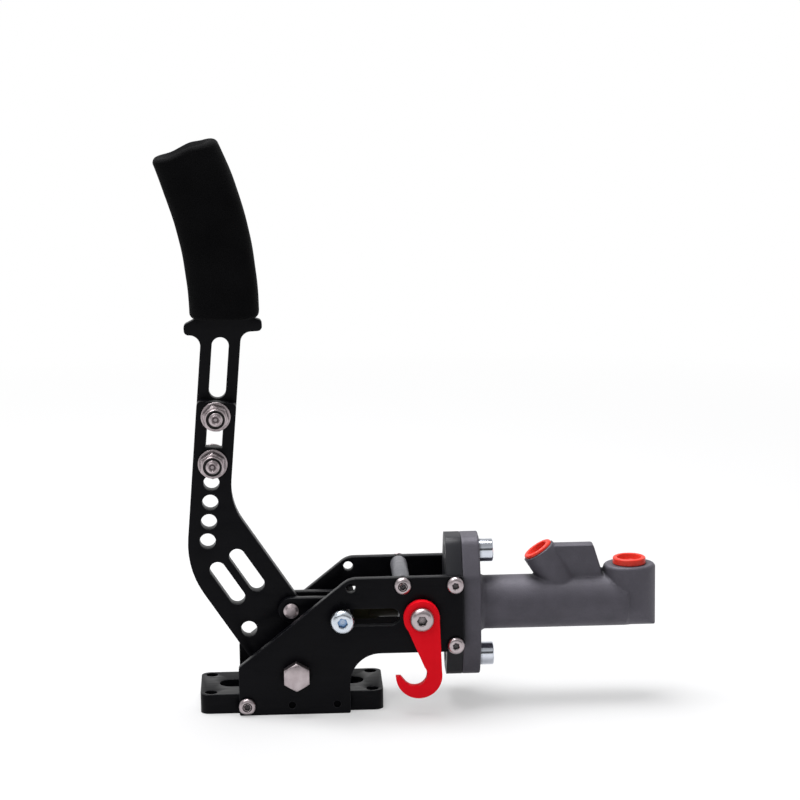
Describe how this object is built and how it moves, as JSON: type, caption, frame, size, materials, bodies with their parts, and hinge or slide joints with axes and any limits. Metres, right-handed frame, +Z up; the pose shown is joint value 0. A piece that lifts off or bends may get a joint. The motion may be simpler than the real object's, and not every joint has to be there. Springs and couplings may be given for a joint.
{
  "type": "parking brake lever",
  "caption": "Hydraulic parking brake lever: a cranked hand lever with a foam grip between side plates on a floor base, linked to a flange-mounted master cylinder, with a swing lock hook",
  "frame": {"origin": "middle of the underside of the base block, in the middle of the four floor bolt holes", "axes": "X along the master cylinder from the lever to the cylinder's end, Y across the side plates away from the hook's side, Z up"},
  "size_m": [0.2786, 0.0768, 0.3188],
  "materials": {
    "black_anodised": "satin black anodised aluminium plate",
    "dark_anodised": "satin dark grey anodised aluminium",
    "grey_anodised": "satin grey anodised aluminium",
    "plain_aluminium": "plain machined aluminium",
    "cast_aluminium": "matt grey blasted casting",
    "red_anodised": "bright red anodised aluminium plate",
    "stainless": "stainless fasteners",
    "zinc_steel": "zinc plated steel",
    "blue_zinc": "blue-white zinc plated steel",
    "yellow_zinc": "olive yellow zinc plated steel",
    "black_steel": "blackened steel",
    "chrome": "bright plated socket screws",
    "bronze": "sintered bronze bush",
    "seal_rubber": "black seal rubber",
    "foam": "matt black closed cell foam",
    "orange_plastic": "soft orange-red plastic",
    "nylon": "natural nylon"
  },
  "bodies": {
    "frame": {"base_block": "black_anodised", "near_side_plate": "black_anodised", "far_side_plate": "black_anodised", "tie_bar": "grey_anodised", "mount_block": "dark_anodised", "base_screws": "stainless", "base_dowels": "black_steel", "tie_bar_screws": "stainless", "block_screws": "stainless", "pivot_bolt": "stainless", "pivot_tubes": "plain_aluminium", "pivot_washer": "zinc_steel", "pivot_nut": "zinc_steel", "cylinder_body": "cast_aluminium", "flange_screws": "chrome", "inlet_plug": "orange_plastic", "outlet_plug": "orange_plastic", "stop_washer": "zinc_steel", "bore_circlip": "black_steel", "return_spring": "zinc_steel", "hook_screw": "stainless", "hook_washer": "nylon", "hook_nut": "zinc_steel"},
    "lever": {"lever_arm": "black_anodised", "pivot_bush": "bronze", "link_pin": "stainless", "link_pin_clip": "black_steel", "lower_handle_bolt": "stainless", "lower_handle_washers": "stainless", "lower_handle_nut": "stainless"},
    "handle": {"handle_plate": "black_anodised", "foam_grip": "foam", "upper_handle_bolt": "stainless", "upper_handle_washers": "stainless", "upper_handle_nut": "stainless"},
    "link": {"link_arms": "black_anodised"},
    "pushrod": {"rod_eye": "yellow_zinc", "rod_lock_nut": "zinc_steel", "pushrod": "yellow_zinc", "piston": "plain_aluminium", "primary_seal": "seal_rubber", "rear_seal": "seal_rubber", "crosshead_screw": "blue_zinc", "catch_sleeve": "zinc_steel", "far_sleeve": "zinc_steel", "crosshead_washer": "zinc_steel", "crosshead_nut": "zinc_steel"},
    "hook": {"lock_hook": "red_anodised"}
  },
  "joints": [
    {"name": "lever_pivot", "type": "hinge", "parent": "frame", "child": "lever", "pos_m": [0.0027, 0, 0.0228], "axis": [0, 1, 0], "range_deg": [0, 24]},
    {"name": "handle_height", "type": "slide", "parent": "lever", "child": "handle", "axis": [0.0872, 0, 0.9962], "range_m": [-0.008, 0]},
    {"name": "link_pivot", "type": "hinge", "parent": "lever", "child": "link", "pos_m": [0.00045, 0, 0.05492], "axis": [0, 1, 0], "range_deg": [-27, 0]},
    {"name": "pushrod_slide", "type": "slide", "parent": "frame", "child": "pushrod", "axis": [1, 0, 0], "range_m": [0, 0.0134], "stiffness_N_per_m": 1500, "springref_m": -0.01, "deforming": ["return_spring"]},
    {"name": "hook_swing", "type": "hinge", "parent": "frame", "child": "hook", "pos_m": [0.0723, 0, 0.0547], "axis": [0, 1, 0], "range_deg": [-6, 56]}
  ],
  "couplings": [
    {"joint": "pushrod_slide", "follows": "lever_pivot", "m_per_rad": 0.03176},
    {"joint": "link_pivot", "follows": "lever_pivot", "ratio": -1.118}
  ]
}
